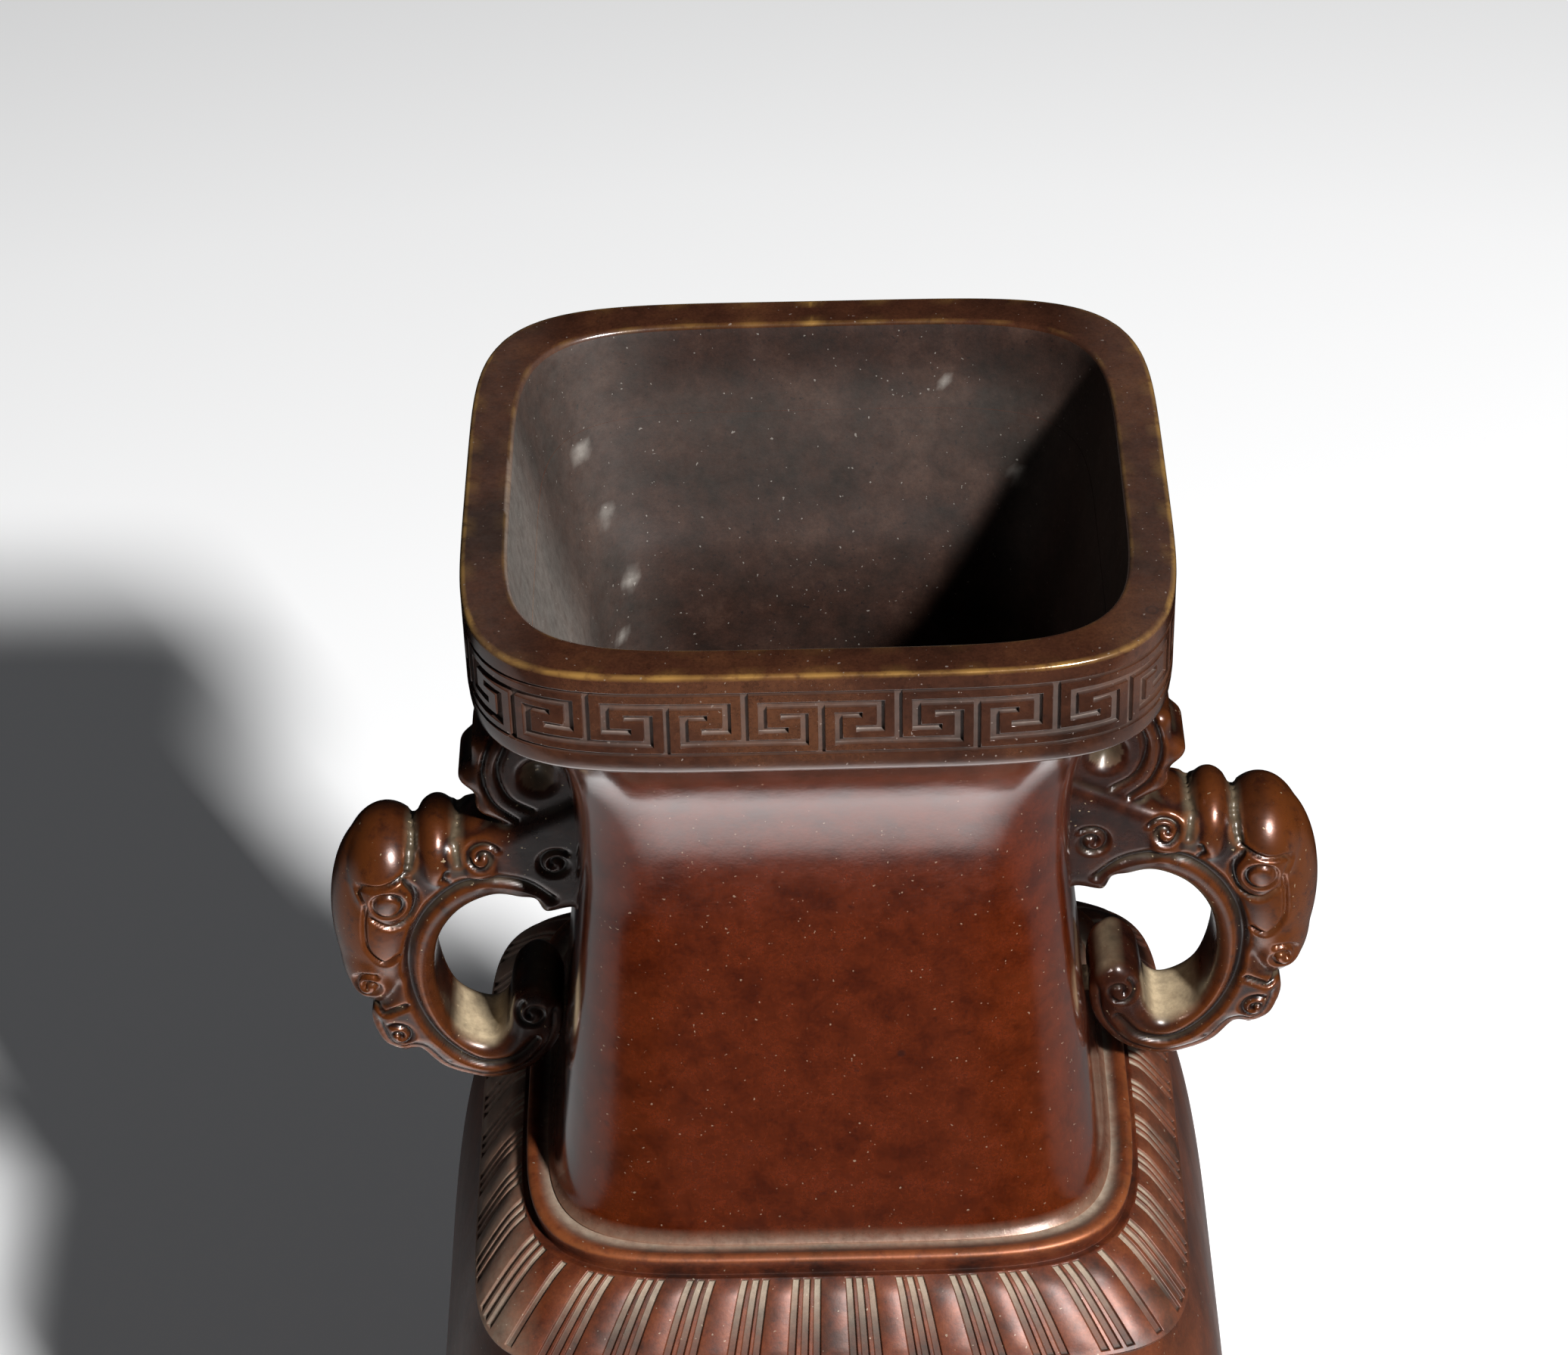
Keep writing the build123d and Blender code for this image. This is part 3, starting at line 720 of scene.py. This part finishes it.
# Handles: a beast's head with a round forehead and fluted mane, whose trunk curls under as a loop.
# Each is one bronze casting, cut with scrolls, an eye and a channel, and pinned to the neck's wall.
# Waxed and held for years: it looks brown and glossy, brighter on the forehead and darker in the cuts.
handle_bronze = patinated_bronze(
    "cast bronze with brown patina worn by hands", "190A07", "30150D", "4C2412", "965020", "D4BE9A",
    smooth=0.25, clouds_mm=9.0, coat=0.5,
)
loop_outline = (
    (40.0, -63.0), (49.8, -64.6), (58.0, -69.0), (65.7, -72.0), (71.0, -73.0), (75.5, -75.5), (78.0, -82.0),
    (79.0, -92.0), (79.5, -102.0), (81.5, -109.5), (84.0, -112.4), (84.3, -116.0), (82.6, -121.0),
    (79.0, -123.2), (76.0, -122.8), (72.0, -127.5), (66.0, -130.2), (61.5, -130.6), (55.0, -127.8),
    (50.2, -121.5), (48.8, -114.5), (50.0, -109.5), (53.6, -107.0), (57.2, -109.5), (58.6, -113.5),
    (59.6, -118.2), (63.2, -120.8), (69.2, -116.6), (71.9, -106.0), (70.8, -95.5), (66.4, -88.2),
    (60.0, -84.6), (55.0, -85.4), (52.6, -85.8), (51.3, -88.6), (50.0, -89.0), (46.0, -88.0), (40.0, -87.5),
)
face_half = 8.2


def smooth_loop(points, steps=5):
    """A smooth closed curve through these points."""
    points = [*points[-2:], *points, *points[:2]]
    line = smooth_line(points, steps)
    return line[2 * steps : -2 * steps - 1]


def slab(name, outline, half_thick, rounding):
    """A thick plate in the plane of the loop, with this outline and round edges."""
    shape = bpy.data.curves.new(name, "CURVE")
    shape.dimensions = "2D"
    shape.fill_mode = "BOTH"
    spline = shape.splines.new("POLY")
    spline.points.add(len(outline) - 1)
    spline.use_cyclic_u = True
    for point, (x, z) in zip(spline.points, outline, strict=True):
        point.co = (x * MM, (z + mouth_top) * MM, 0.0, 1.0)
    shape.extrude = (half_thick - rounding) * MM
    shape.bevel_depth = rounding * MM
    shape.bevel_resolution = 4
    shape.offset = -rounding * MM
    made = bpy.data.objects.new(name, shape)
    bpy.context.collection.objects.link(made)
    made.rotation_euler = (np.pi / 2, 0.0, 0.0)
    bpy.ops.object.select_all(action="DESELECT")
    made.select_set(True)
    bpy.context.view_layer.objects.active = made
    bpy.ops.object.convert(target="MESH")
    bpy.ops.object.transform_apply(location=True, rotation=True, scale=True)
    return bpy.context.object


def lobe(x, z, half_x, half_y, half_z):
    """A round swelling in the handle, in millimetres from the mouth's top."""
    bpy.ops.object.select_all(action="DESELECT")
    middle = (x * MM, 0, (z + mouth_top) * MM)
    bpy.ops.mesh.primitive_uv_sphere_add(segments=48, ring_count=32, radius=1.0, location=middle)
    made = bpy.context.object
    made.scale = (half_x * MM, half_y * MM, half_z * MM)
    bpy.ops.object.transform_apply(location=True, rotation=True, scale=True)
    return made


def ring_points(x, z, radius, flute, flutes, steps=64):
    """Points round a circle, with shallow flutes where it faces away from the neck."""
    turn = np.linspace(0, 2 * np.pi, steps, endpoint=False)
    away = np.clip(np.cos(turn - 0.35) * 1.6, 0, 1)
    reach = radius - flute * away * (0.5 - 0.5 * np.cos(turn * flutes))
    return list(zip(x + reach * np.cos(turn), z + reach * np.sin(turn), strict=True))


def spiral(x, z, outer, inner, turns, start, way=1):
    """Points of a scroll that winds inwards, in millimetres."""
    share = np.linspace(0, 1, 40)
    turn = start + way * 2 * np.pi * turns * share
    reach = outer + (inner - outer) * share
    return np.stack([x + reach * np.cos(turn), z + reach * np.sin(turn)], axis=1)


def nearness(places, path, half_width):
    """1 on a line in the loop's plane, falling smoothly to 0 this far from it."""
    path = np.array(path, float)
    nearest = np.full(len(places), 1e9)
    for first, last in zip(path, path[1:]):
        along = last - first
        share = np.clip(((places - first) @ along) / max(along @ along, 1e-9), 0, 1)
        nearest = np.minimum(nearest, ((places - first - share[:, None] * along) ** 2).sum(axis=1))
    away = np.clip(1 - np.sqrt(nearest) / half_width, 0, 1)
    return away * away * (3 - 2 * away)


# Cuts in both faces of a handle: (points, half width, depth); a negative depth stands up.
outer_edge = smooth_line(loop_outline[11:21], 4)
channel = smooth_line(
    ((49.5, -84.8), (54.0, -81.0), (60.0, -79.8), (66.8, -81.6), (73.2, -88.6), (76.2, -98.0), (75.6, -109.0),
     (71.6, -118.5), (65.0, -124.6), (58.4, -124.2), (54.0, -119.4)), 5,
)
handle_cuts = (
    (outer_edge, 4.5, 1.8),
    (channel, 1.7, 1.1),
    (spiral(61.4, -74.6, 3.3, 0.8, 1.35, 2.6, -1), 0.95, 0.9),
    (spiral(48.3, -76.6, 3.3, 0.8, 1.4, 2.2, -1), 0.95, 0.9),
    (spiral(84.0, -105.0, 3.4, 0.9, 1.3, 2.0, -1), 0.9, 1.0),
    (spiral(79.6, -117.8, 3.1, 0.8, 1.4, 0.6, 1), 0.9, 0.9),
    (spiral(54.3, -113.0, 3.2, 0.9, 1.2, 1.0, -1), 0.9, 0.8),
    (spiral(78.9, -83.6, 2.9, 2.9, 1.0, 0.0), 0.75, 0.8),
    (smooth_line(((75.5, -78.4), (73.8, -83.0), (75.4, -88.2), (79.0, -89.6), (82.4, -87.5)), 4), 0.8, 0.9),
    (smooth_line(((75.0, -77.4), (79.0, -78.9), (84.3, -80.3), (83.3, -84.6), (83.9, -90.0), (83.6, -95.0),
                  (80.8, -98.4), (77.8, -97.0)), 4), 0.8, 1.1),
    (((68.0, -77.6), (68.6, -79.2), (67.6, -80.4)), 0.8, 0.6),
    (((70.5, -124.4), (71.6, -126.2), (70.6, -127.0)), 0.8, 0.6),
    (((73.8, -62.0), (73.5, -70.0), (74.8, -76.6)), 1.2, 0.9),
    (((66.1, -62.0), (66.2, -72.0), (65.8, -76.0)), 1.1, 0.9),
    (((84.4, -110.9), (81.8, -112.2), (77.6, -110.2)), 1.0, 0.9),
    (((76.2, -123.6), (74.6, -121.6)), 1.0, 0.8),
    (((50.5, -57.6), (50.5, -56.4)), 4.4, 2.6),
    (smooth_line(((56.0, -50.0), (57.6, -55.6), (56.0, -61.6), (51.8, -64.8)), 4), 0.8, 0.9),
    (smooth_line(((58.6, -49.0), (60.4, -55.6), (59.0, -62.6), (54.8, -67.0)), 4), 0.8, 0.9),
    (smooth_line(((53.4, -49.6), (47.4, -50.2), (44.4, -54.6)), 4), 0.8, 0.8),
)


def loop_handle(name):
    """The right hand handle, joined into one skin and cut."""
    forms = [
        slab(name, smooth_loop(loop_outline), face_half, 2.6),
        lobe(80.6, -92.6, 9.9, 9.8, 21.5),
        lobe(82.6, -101.5, 7.0, 9.3, 11.5),
        lobe(79.3, -82.1, 8.2, 11.3, 11.9),
        lobe(61.6, -77.8, 6.2, 9.4, 8.6),
        lobe(69.9, -77.1, 5.0, 9.4, 8.7),
        lobe(54.3, -115.0, 4.4, 8.6, 7.8),
        lobe(80.0, -117.4, 4.6, 8.9, 5.0),
        lobe(84.2, -105.2, 4.4, 8.9, 5.4),
        slab("mane curl", ring_points(53.2, -57.6, 11.7, 1.9, 8), 7.2, 2.4),
    ]
    bpy.ops.object.select_all(action="DESELECT")
    for form in forms:
        form.select_set(True)
    handle = forms[0]
    bpy.context.view_layer.objects.active = handle
    bpy.ops.object.join()
    handle.data.remesh_voxel_size = 0.4 * MM
    handle.data.use_remesh_preserve_volume = True
    bpy.ops.object.voxel_remesh()
    soften = handle.modifiers.new("worn", "SMOOTH")
    soften.iterations = 20
    soften.factor = 0.5
    bpy.ops.object.modifier_apply(modifier=soften.name)
    places = places_of(handle) / MM
    normals = np.empty(len(places) * 3)
    handle.data.vertices.foreach_get("normal", normals)
    normals = normals.reshape(-1, 3)
    flat = places[:, [0, 2]] - (0.0, mouth_top)
    facing = np.clip(np.abs(normals[:, 1]) * 1.6 - 0.15, 0, 1)
    cut = np.zeros(len(places))
    for path, half_width, depth in handle_cuts:
        deep = depth * nearness(flat, path, half_width)
        cut = np.where(np.abs(deep) > np.abs(cut), deep, cut)
    places -= normals * (cut * facing)[:, None]
    handle.data.vertices.foreach_set("co", (places * MM).ravel())
    handle.data.update()
    return handle


def handle_wear(edge, x, y, z):
    """Where hands rub a handle: the ridges, the outside of the loop and most of all the forehead."""
    forehead = np.clip((x - 77) / 6, 0, 1) * np.clip((z - mouth_top + 112) / 8, 0, 1)
    return np.maximum(edge * np.clip((x - 55) / 10, 0.1, 1) * 0.5, 0.5 * forehead)


def handle_dust(x, y, z, up, out):
    """Dust that can't be wiped away: low in the loop, by the neck, in the mane and between lobes."""
    z = z - mouth_top
    low = (np.hypot(x - 64, z + 108) < 16) & (z < -112) & (x > 57)
    curl = (np.hypot(x - 50.5, z + 57.0) < 3.4) & (np.abs(y) < 6.5)
    tip = (x < 56.0) & (z < -106) & (z > -116)
    lying = np.clip(up * 2.4 - 0.9, 0, 1) * (0.8 * low + 0.3 * tip * np.clip((55.5 - x) / 4, 0, 1))
    lying *= np.clip((7.7 - np.abs(y)) / 2.2, 0, 1)
    for valley in (66.0, 74.2):
        side = np.clip(1 - np.abs(x - valley) / 1.7, 0, 1)
        lying = np.maximum(lying, 0.22 * side * np.clip((z + 80) / 6, 0, 1) * (z < -64))
    return np.maximum(lying, 0.12 * curl)


right_handle = loop_handle("right_handle_casting")
mark_wear(right_handle, handle_wear, handle_dust, spread=3, film=0.15)
bpy.ops.object.shade_smooth()
settle(right_handle, handle_bronze, "right_handle")

left_settle = 2.5
left_handle = right_handle.copy()
left_handle.data = right_handle.data.copy()
left_handle.name = "left_handle_casting"
left_handle.data.name = left_handle.name
bpy.context.collection.objects.link(left_handle)
left_handle.data.transform(Matrix.Translation((0, 0, -left_settle * MM)) @ Matrix.Rotation(np.pi, 4, "Z"))
settle(left_handle, handle_bronze, "left_handle")

# Core plugs and pins: short bronze rods driven into holes in the neck's wall. The plugs close the
# holes that the casting's core pins left, and the pins hold the handles.
# Filed and dusty, so that they look pale and dull.
plug_metal, tree = new_material("filed bronze plug, dusty")
pale = cloudy(tree, 0.7, 3.0, 0.55, ((0.4, "C0A582"), (0.62, "987D64")))
face = add(tree, "BsdfPrincipled", {"Base Color": pale, "Metallic": 0.2, "Roughness": 0.65})
add(tree, "OutputMaterial", {"Surface": face})
for name in ("core_plugs", "upper_handle_pins", "lower_handle_pins"):
    nodes[name].data.materials.clear()
    nodes[name].data.materials.append(plug_metal)

# The room: the vase is seen from the front and well above, on a pale sheet of paper.
# A small lamp stands high on the right, and the room's own light is weak and even. Glossy rays see a painted
# reflection in place of the studio round it: a bright patch of the floor in front of the vase and behind it,
# and a room darker than its light. The camera sees the floor with painted light, brighter near the vase and
# glowing faintly.
camera_place = (-0.0025, -0.62661, 0.82975)
camera_tilt, camera_roll, camera_pan = 51.7767, 1.1705, -0.5778
lens = bpy.data.cameras.new("camera")
lens.lens = 103.627
lens.sensor_width = 36.0
camera = bpy.data.objects.new("camera", lens)
bpy.context.collection.objects.link(camera)
camera.location = camera_place
camera.rotation_euler = np.radians((camera_tilt, camera_roll, camera_pan))
bpy.context.scene.camera = camera
bpy.context.scene.view_settings.view_transform = "Standard"

bpy.ops.object.select_all(action="DESELECT")
bpy.ops.mesh.primitive_plane_add(size=12)
floor = bpy.context.object
floor.name = "paper_floor"
# Matt paper, white in the light. It carries painted light: seen by the camera it is painted brighter near the
# vase than further out, and it glows faintly, which lightens its shadow.
paper, tree = new_material("background paper with painted light and reflection")
way = add(tree, "TexCoord", out="Object")
away = add(tree, "VectorMath", {0: way}, out="Value", operation="LENGTH")
# Painted light: the camera sees the floor brighter within 0.7 m of the vase, less bright from 1.0 m on.
painted_floor_light = add(tree, "MapRange", {
    "Value": away, "From Min": 0.7, "From Max": 1.0, "To Min": 1.27, "To Max": 1.1,
})
seen = add(tree, "LightPath", out="Is Camera Ray")
bright = add(tree, "MapRange", {"Value": seen, "To Min": 0.9, "To Max": painted_floor_light})
# Painted reflection: glossy rays see the floor as a bright patch in front of the vase and behind it, narrow
# from side to side and dark close round the vase.
sideways = add(tree, "SeparateXYZ", {0: way}, out="X")
across = add(tree, "MapRange", {"Value": sideways, "From Min": -0.5, "From Max": 0.5})
towards = add(tree, "SeparateXYZ", {0: way}, out="Y")
forward = add(tree, "Math", {0: towards, 1: 2.0}, operation="MULTIPLY", use_clamp=True)
backward = add(tree, "Math", {0: towards, 1: -2.0}, operation="MULTIPLY", use_clamp=True)
both = add(tree, "Math", {0: forward, 1: backward}, operation="MAXIMUM", use_clamp=True)
near = add(tree, "ValToRGB", {"Fac": both}, (
    (0.2, 1.0), (0.5, 0.74), (0.58, 0.5), (0.64, 0.1), (0.72, 0.01),
))
middle = add(tree, "ValToRGB", {"Fac": across}, ((0.28, 0.16), (0.4, 1.0), (0.58, 1.0), (0.68, 0.07)))
core = add(tree, "ValToRGB", {"Fac": away}, ((0.085, 0.04), (0.14, 1.0)))
painted_reflection = add(tree, "Math", {0: near, 1: middle}, operation="MULTIPLY", use_clamp=True)
painted_reflection = add(tree, "Math", {0: painted_reflection, 1: core}, operation="MULTIPLY", use_clamp=True)
painted_reflection_strength = 2.4
painted_reflection = add(tree, "Math", {0: painted_reflection, 1: painted_reflection_strength}, operation="MULTIPLY")
glossy = add(tree, "LightPath", out="Is Glossy Ray")
bright = add(tree, "MapRange", {"Value": glossy, "To Min": bright, "To Max": painted_reflection})
face = add(tree, "BsdfDiffuse", {"Color": bright})
# Painted light: a faint glow seen only by the camera, which lightens the floor and its shadow.
painted_glow_strength = add(tree, "MapRange", {"Value": seen, "To Min": 0.0, "To Max": 0.025})
painted_glow = add(tree, "Emission", {"Strength": painted_glow_strength})
face = add(tree, "AddShader", {0: face, 1: painted_glow})
add(tree, "OutputMaterial", {"Surface": face})
floor.data.materials.append(paper)

room = bpy.data.worlds.new("studio, darker in painted reflections")
bpy.context.scene.world = room
room.use_nodes = True
tree = room.node_tree
tree.nodes.clear()
# Painted reflection: glossy rays see the room darker than the light it gives.
glossy = add(tree, "LightPath", out="Is Glossy Ray")
dim = add(tree, "MapRange", {"Value": glossy, "To Min": 0.045, "To Max": 0.012})
seen = add(tree, "LightPath", out="Is Camera Ray")
dim = add(tree, "MapRange", {"Value": seen, "To Min": dim, "To Max": 0.9})
light = add(tree, "Background", {"Color": "DDE1E8", "Strength": dim})
add(tree, "OutputWorld", {"Surface": light})

lamp_way = Vector((0.401, -0.655, 0.640))
lamp_far = 2.2
lamp_aim = Vector((0.0, 0.0, 0.3))
lamp = bpy.data.lights.new("key lamp", "AREA")
lamp.shape = "SQUARE"
lamp.size = 0.16
lamp.energy = 85.0
holder = bpy.data.objects.new("key lamp", lamp)
bpy.context.collection.objects.link(holder)
holder.location = lamp_aim + lamp_far * lamp_way
holder.rotation_euler = lamp_way.to_track_quat("Z", "Y").to_euler()
